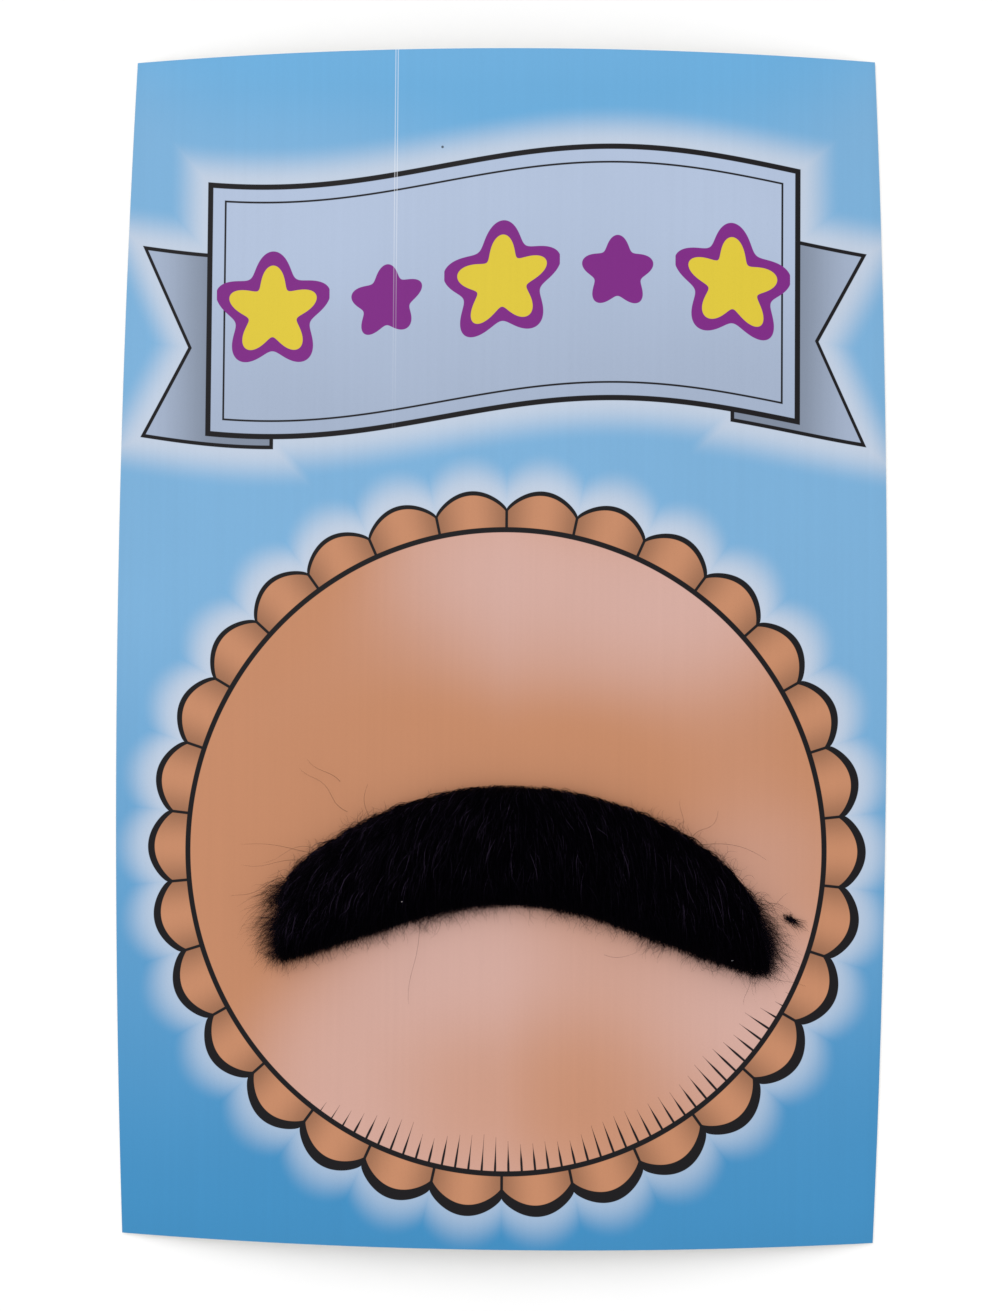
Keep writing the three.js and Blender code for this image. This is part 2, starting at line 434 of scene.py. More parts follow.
def paint_ribbon(g, card, ground, ribbon, x):
    outline, hairline, inset, flower_rim = 1.25, 0.45, 3.6, 3.3
    shade = g.ramp(ribbon.rise + g.noise(22, 1) * 30, -20, 34)
    tail = g.mix(g.ramp(abs(x), 66, 82), tinted(card.ribbon, 0.52), tinted(card.ribbon, 0.9))
    ground = g.mix(g.inside(ribbon.tails), ground, tail)
    ground = g.mix(g.line(ribbon.tails, outline * 0.7), ground, card.ink)
    cloth = g.mix(shade, tinted(card.ribbon, 0.9), tinted(card.ribbon, 1.08))
    ground = g.mix(g.inside(ribbon.front), ground, cloth)
    ground = g.mix(g.line(ribbon.front + inset, hairline), ground, card.ink)
    ground = g.mix(g.line(ribbon.front, outline), ground, card.ink)
    ground = g.mix(g.inside(ribbon.flower) * ribbon.within, ground, card.purple)
    core = g.inside(ribbon.flower + flower_rim) * ribbon.within * (1 - ribbon.small)
    return g.mix(core, ground, card.yellow)


class Rosette:
    """A pleated, scalloped rosette round a plain disc."""

    middle = (1.5, -47)
    lobes, disc_radius, pleat_radius, scallop = 30, 73, 77.3, 4.4

    def __init__(self, g, x, y):
        self.across = x - self.middle[0]
        self.up = y - self.middle[1]
        self.reach = g.math("SQRT", self.across * self.across + self.up * self.up)
        self.turn = g.math("ARCTAN2", self.up, self.across)
        self.lobe = abs(g.math("COSINE", self.turn * (self.lobes / 2)))
        self.edge = self.reach - (self.lobe**0.75 * self.scallop + self.pleat_radius)
        self.disc = self.reach - self.disc_radius
        self.fold = self.lobe * self.reach * (2 / self.lobes)


def paint_rosette(g, card, ground, rosette):
    disc_outline, crease_width, ticks, tick_width = 1.2, 0.32, 150, 0.26
    low = g.math("SINE", rosette.turn - 0.25) * -1
    frill = g.mix(rosette.lobe**1.4, tinted(card.peach_deep, 0.6), tinted(card.peach_deep, 1.02))
    ground = g.mix(g.inside(rosette.edge), ground, frill)
    ground = g.mix(g.inside(rosette.fold - crease_width) * g.inside(rosette.edge), ground, card.ink)
    ground = g.mix(g.line(rosette.edge, low * 0.8 + 1.8), ground, card.ink)
    drift = g.noise(16, 0, stretch=(0.8, 1.2, 1))
    cheeks = abs(rosette.across) * 0.008 - rosette.across * 0.0045 + rosette.up * 0.001
    deep = g.ramp(drift * 2.4 + cheeks, 0.78, 1.74)
    ground = g.mix(g.inside(rosette.disc), ground, g.mix(deep, card.peach_light, card.peach_deep))
    start = rosette.disc + (g.noise(130, 0) * 6 + g.ramp(low, 0.45, 0.85, -6.0, 4.5))
    tick = abs(g.math("SINE", rosette.turn * (ticks / 2))) * rosette.reach * (2 / ticks)
    stroke = g.inside(tick - g.ramp(start, 0, 6, 0.02, tick_width)) * g.math("GREATER_THAN", start, 0)
    ground = g.mix(stroke * g.inside(rosette.disc), ground, card.ink)
    return g.mix(g.line(rosette.disc, disc_outline), ground, card.ink)


def printed_board(card):
    """The card's coated front with its print, a faint banding, a rub line and a speck."""
    g = Graph("printed_board", roughness=0.42, specular=0.18)
    x, y, _ = g.split(g.scaled((1000, 1000, 1000)))
    ribbon = Ribbon(g, x, y)
    rosette = Rosette(g, x, y)
    nearest = g.least(ribbon.nearest, rosette.edge)
    glow = g.ramp(nearest, 0.5, 10.0, 1.0, 0.0) * g.ramp(y, -135, 0, 0.6, 0.9)
    ground = g.mix(glow, sky(g, card, x, y), card.halo)
    ground = paint_ribbon(g, card, ground, ribbon, x)
    ground = paint_rosette(g, card, ground, rosette)

    banding = g.noise(900, 2, stretch=(1, 0.015, 1))
    grain = g.noise(2600, 2)
    wash = g.noise(30, 2)
    value = (banding * 0.05 + grain * 0.05 + wash * 0.06 + 0.92) * card.print_depth
    shade = g.node("ShaderNodeCombineColor", {0: value, 1: value, 2: value}).outputs[0]
    ground = g.mix(1.0, ground, shade, "MULTIPLY")

    rub_x, rub_gap, rub_width = -24.6, 0.28, 0.11
    rub = g.inside(abs(abs(x - rub_x) - rub_gap) - rub_width, 0.1) * g.ramp(y + banding * 30, 60, 130)
    ground = g.mix(rub * 0.45, ground, (0.72, 0.74, 0.78))
    speck = g.inside(g.math("SQRT", (x + 13.9) ** 2 + (y - 114.2) ** 2) - 0.3)
    ground = g.mix(speck * 0.8, ground, card.ink)
    g.bump(banding * 0.4 + grain * 0.5 - rub * 1.5, 0.16, 0.00004)
    return g.finish(ground, wash * 0.10 + grain * 0.06 + 0.34)


def bare_board(name, tone, lines):
    """Uncoated grey-white board: fibres on its back, pressed layers on its cut edges."""
    g = Graph(name, roughness=0.85, specular=0.2)
    fibres = g.noise(1100, 4, 0.7)
    cloud = g.noise(45, 3)
    layers = g.noise(420, 2, stretch=lines)
    flecks = g.node("ShaderNodeTexVoronoi", {"Vector": g.scaled((1, 0.45, 1)), "Scale": 520, "Randomness": 1})
    fleck = g.inside(Number(g, flecks.outputs["Distance"]) - 0.16, 0.06)
    kept = g.math("GREATER_THAN", g.split(flecks.outputs["Color"])[0], 0.8)
    base = g.mix(g.ramp(fibres + cloud + layers, 0.9, 2.1), tinted(tone, 0.84), tone)
    base = g.mix(fleck * kept * 0.55, base, tinted(tone, 0.45))
    g.bump(fibres + layers * 0.6, 0.35, 0.00006)
    return g.finish(base)


def hair(pile, name, specular):
    """Near-black synthetic hair, mixed from the dark colour towards the light one by each point's tone; the
    tone carries the hairs' own lighter or darker colour, painted highlights, and painted shade at the roots
    and tips.
    """
    g = Graph(name, roughness=0.48, specular=specular)
    tone = Number(g, g.node("ShaderNodeAttribute", {}, attribute_name="tone").outputs["Fac"])
    streak = g.noise(900, 2, stretch=(1, 0.2, 1))
    return g.finish(g.mix(tone * (streak * 0.8 + 0.6), pile.shadow, pile.gleam), streak * 0.2 + 0.36)


def knitted_core(pile):
    """The dark mass of underfur and knitted backing below the hairs."""
    g = Graph("pile_core", roughness=0.8, specular=0.02)
    combed = g.noise(1400, 3, 0.6, stretch=(1, 0.12, 1))
    wales = g.math("SINE", g.split(g.scaled((5200, 1, 1)))[0])
    g.bump(combed + wales * 0.2, 0.9, 0.0004)
    return g.finish(g.mix(combed, tinted(pile.shadow, 0.6), tinted(pile.shadow, 1.6)))


def tape_film():
    """Off-white double-sided tape: a slightly crinkled film on a fibrous carrier."""
    g = Graph("tape_film", roughness=0.5, specular=0.4)
    crinkle = g.noise(260, 3, 0.6)
    fibres = g.noise(1500, 3, 0.7, stretch=(1, 0.15, 1))
    g.bump(crinkle + fibres * 0.4, 0.3, 0.0001)
    return g.finish(g.mix(fibres, srgb(214, 207, 190), srgb(238, 232, 218)), crinkle * 0.25 + 0.4)


def lint_fibre():
    g = Graph("lint_fibre", roughness=0.7)
    return g.finish(g.mix(g.noise(4000), srgb(196, 194, 200), srgb(244, 244, 248)))


# Mesh helpers


def start_clean():
    """Object mode with nothing selected."""
    if bpy.context.object and bpy.context.object.mode != "OBJECT":
        bpy.ops.object.mode_set(mode="OBJECT")
    bpy.ops.object.select_all(action="DESELECT")


@contextlib.contextmanager
def editing():
    """The active object in edit mode, with nothing selected at first."""
    bpy.ops.object.mode_set(mode="EDIT")
    bpy.ops.mesh.select_mode(type="VERT")
    bpy.ops.mesh.select_all(action="DESELECT")
    yield bpy.context.object
    bpy.ops.object.mode_set(mode="OBJECT")


def pick(piece, test):
    """Selects the vertices that pass a test of their place, and no others."""
    mesh = bmesh.from_edit_mesh(piece.data)
    for vertex in mesh.verts:
        vertex.select = bool(test(vertex.co))
    mesh.select_flush(True)
    mesh.select_flush(False)
    bmesh.update_edit_mesh(piece.data)


def settle(piece, slot, *materials):
    """Gives a piece its materials and its body; the slot argument is not used."""
    piece.data.materials.clear()
    for material in materials:
        piece.data.materials.append(material)
    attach(piece, BODY)
    return piece


def check_fit(piece, node, slack):
    """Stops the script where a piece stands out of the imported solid's box by more than the slack."""
    low, high = (np.array(corner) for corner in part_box(node))
    points = np.empty(3 * len(piece.data.vertices))
    piece.data.vertices.foreach_get("co", points)
    points = points.reshape(-1, 3)
    if (points.min(axis=0) < low - slack).any() or (points.max(axis=0) > high + slack).any():
        raise RuntimeError(f"{piece.name} stands out of the box of {node}")


def tubes(paths, radii):
    """Closed three-sided tubes along paths of points, each ending in a tip at its last point."""
    along = np.gradient(paths, axis=1)[:, :-1]
    along /= np.linalg.norm(along, axis=2, keepdims=True) + 1e-12
    side = np.cross(along, np.array([0.03, 0.05, 1.0]))
    side /= np.linalg.norm(side, axis=2, keepdims=True) + 1e-12
    rise = np.cross(along, side)
    hairs, rings = along.shape[:2]
    corners = np.arange(3) * (2 * math.pi / 3)
    spoke = side[:, :, None] * np.cos(corners)[:, None] + rise[:, :, None] * np.sin(corners)[:, None]
    wall = paths[:, :-1, None] + spoke * radii[:, :, None, None]
    points = np.concatenate([wall.reshape(hairs, rings * 3, 3), paths[:, -1:]], axis=1)
    ring = np.arange(rings - 1)[:, None] * 3
    here = ring + np.arange(3)
    there = ring + (np.arange(3) + 1) % 3
    quads = np.stack([here, there, there + 3, here + 3], axis=-1).reshape(-1, 4)
    last, tip = (rings - 1) * 3, rings * 3
    cap = [[last + i, last + (i + 1) % 3, tip] for i in range(3)]
    ends = np.array([*cap, [0, 2, 1]])
    first = np.arange(hairs)[:, None, None] * points.shape[1]
    return points.reshape(-1, 3), (quads + first).reshape(-1, 4), (ends + first).reshape(-1, 3)


def root_and_tip_shade(count):
    """Factors along a hair, lightest in its middle, that paint shade on its root and its tip."""
    return 0.3 + 0.7 * np.sin(math.pi * np.linspace(0.05, 0.9, count))


def hair_mesh(name, paths, radii, tones):
    """One object of many hairs, with a tone for each point of each path."""
    points, quads, triangles = tubes(paths, radii)
    mesh = bpy.data.meshes.new(name)
    corners = np.concatenate([quads.ravel(), triangles.ravel()]).astype(np.int32)
    lengths = np.concatenate([np.full(len(quads), 4), np.full(len(triangles), 3)])
    starts = np.concatenate([[0], np.cumsum(lengths)[:-1]]).astype(np.int32)
    mesh.vertices.add(len(points))
    mesh.vertices.foreach_set("co", points.astype(np.float32).ravel())
    mesh.loops.add(len(corners))
    mesh.loops.foreach_set("vertex_index", corners)
    mesh.polygons.add(len(starts))
    mesh.polygons.foreach_set("loop_start", starts)
    mesh.polygons.foreach_set("use_smooth", np.ones(len(starts), bool))
    mesh.update(calc_edges=True)
    tone = np.concatenate([np.repeat(tones[:, :-1], 3, axis=1), tones[:, -1:]], axis=1)
    attribute = mesh.attributes.new("tone", "FLOAT", "POINT")
    attribute.data.foreach_set("value", tone.astype(np.float32).ravel())
    piece = bpy.data.objects.new(name, mesh)
    bpy.context.scene.collection.objects.link(piece)
    return piece


# How the hairs lie


def lean_at(band, pile, x, down):
    """The angle by which a hair leans outwards, most of all at the parting and the upper edge."""
    fan = np.where(x < 0, pile.fan_left, pile.fan_right) * np.sin(np.clip(1.6 * x / band.half, -1.57, 1.57))
    fan = fan + pile.end_flare * np.clip(np.abs(x) / band.half - 0.85, 0, 1) / 0.15 * np.sign(x) * down
    parting = pile.parting * np.tanh(x / (3 * MM)) * np.exp(-np.abs(x) / pile.parting_width) * (1 - down)
    nap = pile.nap * np.tanh(x / (12 * MM)) * np.exp(-down / pile.nap_share)
    return np.clip(fan + parting + nap, -pile.lean_limit, pile.lean_limit)


def combed(band, root, lean, length, shift, wave, t):
    """Flat points of hairs that set off outwards and hang down at their tips."""
    bend = lean[:, None] * (1.3 - 0.6 * t)
    x = root[:, :1] + shift[:, :1] * (1 - 0.35 * t) + length[:, None] * t * np.sin(bend)
    y = root[:, 1:] + shift[:, 1:] * (1 - 0.35 * t) - length[:, None] * t * np.cos(bend)
    curl = wave[:, :1] * np.sin(2 * math.pi * (wave[:, 1:2] * t + wave[:, 2:]))
    return x + curl * np.cos(bend), y + curl * np.sin(bend)


def trim(band, x, y, t, hem, end):
    """The share of each hair that lies inside the hem and the cut ends."""
    end_room = band.end(x, band.down_at(np.clip(x, -band.half, band.half), y)) + end[:, None] - np.abs(x)
    room = np.minimum(y - band.bottom(x) + hem[:, None], end_room)
    out = room < 0
    first = np.argmax(out, axis=1)
    rows = np.arange(len(x))
    before = np.maximum(first - 1, 0)
    gap = room[rows, before] - room[rows, first]
    part = np.where(gap > 0, room[rows, before] / np.where(gap > 0, gap, 1), 0)
    cut = t[before] + (t[first] - t[before]) * np.clip(part, 0, 1)
    return np.where(out.any(axis=1), np.maximum(cut, 0.06), 1.0)


def pile_hairs(band, pile, rng):
    """The combed hairs of the pile, tuft by tuft, as paths, radii and tones; the tones carry painted
    highlights and painted shade.
    """
    along, down = pile.tufts_along, pile.tufts_down
    tufts = along * down
    column, row = np.meshgrid(np.arange(along), np.arange(down))
    side = 2 * (column.ravel() + 0.5 + rng.uniform(-0.5, 0.5, tufts)) / along - 1
    tuft_down = np.clip((row.ravel() + rng.uniform(0, 1, tufts)) / down, 0, 0.97) ** 1.5
    tuft_x = side * np.minimum(band.half, band.end(side, tuft_down) - 0.3 * MM)
    tuft_lean = rng.normal(0, pile.tuft_jitter, tufts)
    # Painted highlight: some tufts get more hairs lightened as if they caught the light.
    tuft_shine = rng.uniform(0, 1, tufts) ** 2

    tuft = np.repeat(np.arange(tufts), pile.hairs)
    hairs = len(tuft)
    shift = rng.normal(0, pile.spread / 2, (hairs, 2))
    x = tuft_x[tuft]
    root = np.stack([x, band.y_at(x, tuft_down[tuft])], axis=1)
    where = np.clip(root[:, 0] + shift[:, 0], -band.half, band.half)
    high = np.minimum(root[:, 1] + shift[:, 1], band.top(where) - rng.uniform(0, 0.2 * MM, hairs))
    shift = np.stack([where - root[:, 0], high - root[:, 1]], axis=1)
    near_top = np.exp(-tuft_down[tuft] / pile.nap_share)
    jitter = rng.normal(0, pile.jitter, hairs) * (1 + 0.6 * near_top)
    lean = lean_at(band, pile, x, tuft_down[tuft]) + tuft_lean[tuft] + jitter
    length = pile.length * rng.uniform(0.5, 1.15, hairs) * np.clip(0.45 + 3 * tuft_down[tuft], 0, 1)
    swing = rng.normal(0, pile.wave, hairs) * (1 - 0.4 * near_top)
    wave = np.stack([swing, rng.uniform(0.3, 1.1, hairs), rng.uniform(0, 1, hairs)], 1)
    hem = np.abs(rng.normal(0, 0.3 * MM, hairs))
    end = np.minimum(rng.exponential(0.35 * MM, hairs), 3 * MM)

    fine = np.linspace(0, 1, 10)
    length = length * trim(band, *combed(band, root, lean, length, shift, wave, fine), fine, hem, end)

    t = np.array([0, 0.2, 0.4, 0.6, 0.8, 1.0])
    x, y = combed(band, root, lean, length, shift, wave, t)
    held = np.clip(x, -band.half, band.half)
    share_down = band.down_at(held, y)
    top = band.height(held, np.clip(share_down, 0, 1))
    layer = rng.uniform(0, 1, hairs)[:, None] ** 0.6
    loose = rng.uniform(0, 1, hairs) < pile.loose_share
    lift = np.where(loose, rng.uniform(0.3, 1.8, hairs), 0)[:, None] * MM
    ripple = wave[:, :1] * np.cos(2 * math.pi * (wave[:, 1:2] * t + wave[:, 2:]))
    tucked = 1 - 0.38 * np.clip((share_down - 0.86) / 0.14, 0, 1.2) ** 2
    rise = 0.45 + 0.55 * np.clip(t / 0.35, 0, 1) ** 0.7
    z = top * (0.12 + 0.9 * layer) * rise * tucked + lift * t**1.5 + ripple * t + 0.12 * MM
    thick = pile.radius * rng.uniform(0.7, 1.3, hairs)[:, None] * np.array([0.8, 1.0, 1.0, 0.85, 0.6])
    # Painted highlight: a few hairs are lightened as if they caught the light, more of them on the left and
    # in some tufts.
    highlight_left_over_right = 0.55 + 0.45 * np.clip(-x[:, 0] / (24 * MM), 0, 1)
    shine = rng.uniform(0, 1, hairs) ** 9 * (0.35 + 1.3 * tuft_shine[tuft]) * highlight_left_over_right
    # Painted shade: the hairs darken towards the hem, where the pile rounds under.
    painted_hem_shade = 1 - 0.85 * np.clip((share_down - 0.68) / 0.22, 0, 1)
    lowest, shortest = 0.05 * MM, 1.2 * MM
    paths = band.place(x, y, np.maximum(z, lowest))
    kept = length > shortest
    return paths[kept], thick[kept], (shine[:, None] * painted_hem_shade * root_and_tip_shade(6))[kept]


def wander(rng, x, y, heading, length, curl, count):
    """Flat paths that set off from x and y at a heading, 0 for straight down, and curl as they go."""
    hairs = len(x)
    t = np.linspace(0, 1, count)
    turns = rng.uniform(0.4, 1.3, (hairs, 1))
    phase = rng.uniform(0, 1, (hairs, 1))
    sway = np.sin(2 * math.pi * (turns * t + phase)) - np.sin(2 * math.pi * phase)
    aim = heading[:, None] + curl[:, None] * sway + rng.normal(0, 0.25, (hairs, 1)) * t
    step = length[:, None] / (count - 1)
    x = x[:, None] + np.cumsum(np.sin(aim) * step, axis=1) - np.sin(aim[:, :1]) * step
    y = y[:, None] - np.cumsum(np.cos(aim) * step, axis=1) + np.cos(aim[:, :1]) * step
    return x, y


def laid(band, rng, x, y, z_root, z_tip, radius):
    """Fine hairs on flat paths, from a height at their roots to one at their tips, clear of the card."""
    hairs, count = x.shape
    t = np.linspace(0, 1, count)
    sway = rng.uniform(0, 0.5 * MM, (hairs, 1)) * np.sin(math.pi * t)
    z = z_root[:, None] + (z_tip - z_root)[:, None] * t**0.8 + sway
    paths = band.place(x, y, np.maximum(z, band.card_front + 0.12 * MM))
    return paths, tapering(rng, radius, hairs, count)


def tapering(rng, radius, hairs, count):
    """Radii of fine hairs, thinning to their tips."""
    return radius * rng.uniform(0.7, 1.2, (hairs, 1)) * np.linspace(1, 0.35, count - 1) ** 0.8


def clumped(rng, hairs, centres, spread):
    """Shares the hairs out over the centres; returns each hair's clump and its place beside it."""
    clump = rng.integers(0, len(centres), hairs)
    return clump, centres[clump] + rng.normal(0, spread, hairs)


def upper_fuzz(band, rng, hairs, radius):
    """Curly fuzz along the upper edge: short in the middle, longer in patches on the shoulders."""
    count = 7
    patches = np.array([-48, -42, -35, -30, 30, 35, 40, 46, 52]) * MM
    others = 60
    spread_out = rng.choice([-1, 1], others) * rng.uniform(0, 1, others) ** 0.5 * band.half
    centres = np.concatenate([np.repeat(patches, 6), spread_out])
    clump, x = clumped(rng, hairs, centres, 1.3 * MM)
    x = np.clip(x, -band.half, band.half)
    y = band.top(x) - rng.uniform(0.3, 1.6, hairs) * MM
    shoulder = np.clip(np.abs(x) / band.half, 0.1, 0.8)
    aim = rng.normal(0, 0.5, len(centres))[clump] + rng.normal(0, 0.5, hairs) + 1.1 * x / band.half
    length = (0.8 + 6.5 * rng.uniform(0, 1, hairs) ** 2.5 * shoulder) * MM
    x, y = wander(rng, x, y, math.pi - aim, length, rng.uniform(0.4, 1.5, hairs), count)
    z_root = rng.uniform(0.3, 2.0, hairs) * MM
    z_tip = rng.uniform(-0.9, 1.8, hairs) * MM
    return laid(band, rng, x, y, z_root, z_tip, radius)


def tucked_hairs(band, rng, hairs, radius):
    """Short hairs under the upper edge that reach down to the card and hide the tape's side."""
    count = 4
    x = rng.uniform(-1, 1, hairs) * band.half
    outwards = np.arcsin(x / band.top_radius)
    depth = rng.uniform(0.9, 1.8, hairs) * MM
    x, y = x - depth * np.sin(outwards), band.top(x) - depth * np.cos(outwards)
    heading = math.pi - outwards + rng.normal(0, 0.35, hairs)
    length = depth * rng.uniform(0.7, 1.1, hairs)
    x, y = wander(rng, x, y, heading, length, rng.uniform(0.1, 0.4, hairs), count)
    z_root = rng.uniform(0.1, 0.5, hairs) * MM
    z_tip = np.full(hairs, band.card_front + 0.15 * MM)
    return laid(band, rng, x, y, z_root, z_tip, radius)


def lower_fuzz(band, rng, hairs, radius):
    """Fine fuzz that hangs under the lower edge, lying close over the card."""
    count, clumps = 6, 110
    clump, x = clumped(rng, hairs, rng.uniform(-1, 1, clumps) * band.half, 1.6 * MM)
    x = np.clip(x, -band.half, band.half)
    y = band.bottom(x) + rng.uniform(0.3, 1.8, hairs) * MM
    heading = rng.normal(0, 0.45, clumps)[clump] + rng.normal(0, 0.5, hairs) + 0.5 * x / band.half
    length = (1.2 + 5.0 * rng.uniform(0, 1, hairs) ** 2) * MM
    x, y = wander(rng, x, y, heading, length, rng.uniform(0.3, 1.1, hairs), count)
    z_root = rng.uniform(0.2, 1.8, hairs) * MM
    z_tip = rng.uniform(-0.9, 0.6, hairs) * MM
    return laid(band, rng, x, y, z_root, z_tip, radius)


def end_wisps(band, rng, hairs, side, thickest, curl, long_share, radius):
    """The wispy fringe past a cut end: strands that set off outwards and droop to their tips."""
    count, droop, near = 7, 0.6, 0.25
    upper_lean, lean_change = math.radians(98), math.radians(50)
    centres = np.concatenate([rng.uniform(0.08, 0.9, 24), rng.uniform(thickest - near, thickest + near, 20)])
    clump, down = clumped(rng, hairs, centres, 0.022)
    down = np.clip(down, 0.02, 0.88)
    end = band.end(side, down) - rng.uniform(0.3, 2.6, hairs) * MM
    x, y = side * end, band.y_at(side * end, down)
    clump_lean = rng.normal(0, 0.28, len(centres))[clump]
    lean = upper_lean - lean_change * down + clump_lean + rng.normal(0, 0.16, hairs)
    longest = rng.uniform(6, 13, len(centres))[clump]
    is_long = rng.uniform(0, 1, hairs) < long_share
    length = np.where(is_long, rng.uniform(0.35, 1, hairs) * longest, rng.uniform(1.5, 4.8, hairs)) * MM
    length = length * (1.1 - 0.8 * down**3)
    x, y = wander(rng, x, y, side * lean, length, rng.uniform(0.1, curl, hairs), count)
    y = y - droop * (length * (1 - down))[:, None] * np.linspace(0, 1, count) ** 2
    z_root = rng.uniform(0.3, 3.2, hairs) * MM
    z_tip = rng.uniform(-0.9, 1.6, hairs) * MM
    return laid(band, rng, x, y, z_root, z_tip, radius)


# Single long hairs astray over the card, from the moustache's middle: where each starts, its heading
# from straight down, its length and how strongly it curls
STRAYS = [
    {"x": -39.8, "y": 13.2, "heading": -141, "length": 9.5, "curl": 0.4},
    {"x": -37.9, "y": 6.4, "heading": -109, "length": 15.5, "curl": 0.35},
    {"x": -32.9, "y": 5.4, "heading": -156, "length": 8, "curl": 0.4},
    {"x": -47.4, "y": -3.0, "heading": -99, "length": 15, "curl": 0.2},
    {"x": -49.5, "y": -5.0, "heading": -93, "length": 13, "curl": 0.25},
    {"x": -46.0, "y": -2.0, "heading": -112, "length": 12, "curl": 0.5},
    {"x": -52.0, "y": -9.0, "heading": -84, "length": 14, "curl": 0.3},
    {"x": -52.5, "y": -16.0, "heading": -58, "length": 10, "curl": 0.3},
    {"x": -20.0, "y": -14.5, "heading": -18, "length": 23, "curl": 0.14},
    {"x": -14.0, "y": -14.5, "heading": -46, "length": 9, "curl": 0.4},
    {"x": 20.8, "y": -23.9, "heading": 66, "length": 8, "curl": 0.4},
    {"x": 39.9, "y": 3.5, "heading": 150, "length": 9, "curl": 0.5},
    {"x": 41.4, "y": 1.5, "heading": 97, "length": 17, "curl": 0.3},
    {"x": 36.0, "y": 3.5, "heading": 128, "length": 9, "curl": 0.8},
    {"x": 53.0, "y": -12, "heading": 78, "length": 11, "curl": 0.6},
    {"x": 56.0, "y": -26.5, "heading": 50, "length": 12, "curl": 0.25},
    {"x": 53.0, "y": -26.0, "heading": 25, "length": 9, "curl": 0.4},
]

# A tuft of shed hairs on the card beside the right end, and specks of lint on the pile
SHED = {"x": 62.9, "y": -14.9, "knot": 90, "tail": 24, "tail_heading": 66}
LINT = [
    {"x": -24.5, "y": -13.2, "length": 0.6, "heading": 20},
    {"x": 49.0, "y": -24.0, "length": 0.6, "heading": 20},
]


def column(rows, name, scale=1.0):
    return np.array([row[name] for row in rows]) * scale


def set_off(rows):
    """Where the listed hairs start, their headings and their lengths."""
    x, y, length = (column(rows, name, MM) for name in ("x", "y", "length"))
    return x, y, column(rows, "heading", math.pi / 180), length


def stray_hairs(band, rng, radius):
    count, hairs = 14, len(STRAYS)
    x, y = wander(rng, *set_off(STRAYS), column(STRAYS, "curl"), count)
    z_root = np.full(hairs, 0.9 * MM)
    z_tip = rng.uniform(-0.8, 0.4, hairs) * MM
    return laid(band, rng, x, y, z_root, z_tip, radius)


def shed_hairs(band, rng, radius):
    """A knot of tightly curled hairs with a thin tail."""
    count = 9
    knot, tail = SHED["knot"], SHED["tail"]
    hairs = knot + tail
    tail_heading = math.radians(SHED["tail_heading"])
    along = rng.normal(0, 0.75 * MM, hairs)
    aside = rng.normal(0, 0.22 * MM, hairs)
    x = SHED["x"] * MM + (along * math.sin(tail_heading) + aside * math.cos(tail_heading))
    y = SHED["y"] * MM + (-along * math.cos(tail_heading) + aside * math.sin(tail_heading))
    in_tail = np.arange(hairs) < tail
    along_tail = tail_heading + rng.normal(0, 0.16, hairs)
    heading = np.where(in_tail, along_tail, rng.uniform(-math.pi, math.pi, hairs))
    length = np.where(in_tail, rng.uniform(2.4, 4.4, hairs), rng.uniform(1.2, 2.6, hairs)) * MM
    curl = np.where(in_tail, rng.uniform(0.1, 0.5, hairs), rng.uniform(2.2, 4.0, hairs))
    x, y = wander(rng, x, y, heading, length, curl, count)
    z_root = band.card_front + rng.uniform(0.15, 0.9, hairs) * MM
    z_tip = band.card_front + rng.uniform(0.15, 0.7, hairs) * MM
    return laid(band, rng, x, y, z_root, z_tip, radius)


# Operators


class MOUSTACHE_OT_stage(bpy.types.Operator):
    """Lays the floor, sets the soft light and aims the camera"""

    bl_idname = "moustache.stage"
    bl_label = "Stage"

    def execute(self, context):
        stage = context.scene.moustache_stage
        start_clean()
        self.floor(stage)
        self.light(stage, (-0.35, 0.85, 1.2))
        world = bpy.data.worlds.new("studio")
        world.use_nodes = True
        world.node_tree.nodes["Background"].inputs["Color"].default_value = (1, 1, 1, 1)
        world.node_tree.nodes["Background"].inputs["Strength"].default_value = stage.sky
        context.scene.world = world
        context.scene.view_settings.view_transform = "Standard"
        self.camera(context, stage)
        return {"FINISHED"}

    def floor(self, stage):
        bpy.ops.mesh.primitive_grid_add(x_subdivisions=8, y_subdivisions=8, size=60, location=(0, 0, 0))
        floor = bpy.context.object
        floor.name = "floor"
        g = Graph("floor_paper", roughness=0.9, specular=0.1)
        grain = g.noise(40, 3)
        floor.data.materials.append(g.finish(g.mix(grain, tinted(stage.floor, 0.985), stage.floor)))

    def light(self, stage, place):
        """A wide soft light that is as strong all over the floor."""
        bpy.ops.object.light_add(type="SUN", location=place)
        light = bpy.context.object
        light.name = "key_light"
        light.data.angle = stage.key_width
        light.data.energy = stage.key
        light.rotation_euler = (-Vector(place)).to_track_quat("-Z", "Y").to_euler()

    def camera(self, context, stage):
        """The camera looks down on the card from a little over half a metre."""
        eye = Vector((16.67, -22.55, 549.29)) * MM
        target = Vector((0.20, -2.72, 8.0)) * MM
        forward = (target - eye).normalized()
        right = forward.cross(Vector((0, 1, 0))).normalized()
        turn = Matrix.Rotation(-stage.roll, 3, forward)
        axes = Matrix((turn @ right, turn @ right.cross(forward), -forward)).transposed()
        bpy.ops.object.camera_add(location=eye, rotation=axes.to_euler())
        camera = bpy.context.object
        camera.name = "camera"
        camera.data.lens = stage.lens
        camera.data.sensor_width = 36
        context.scene.camera = camera


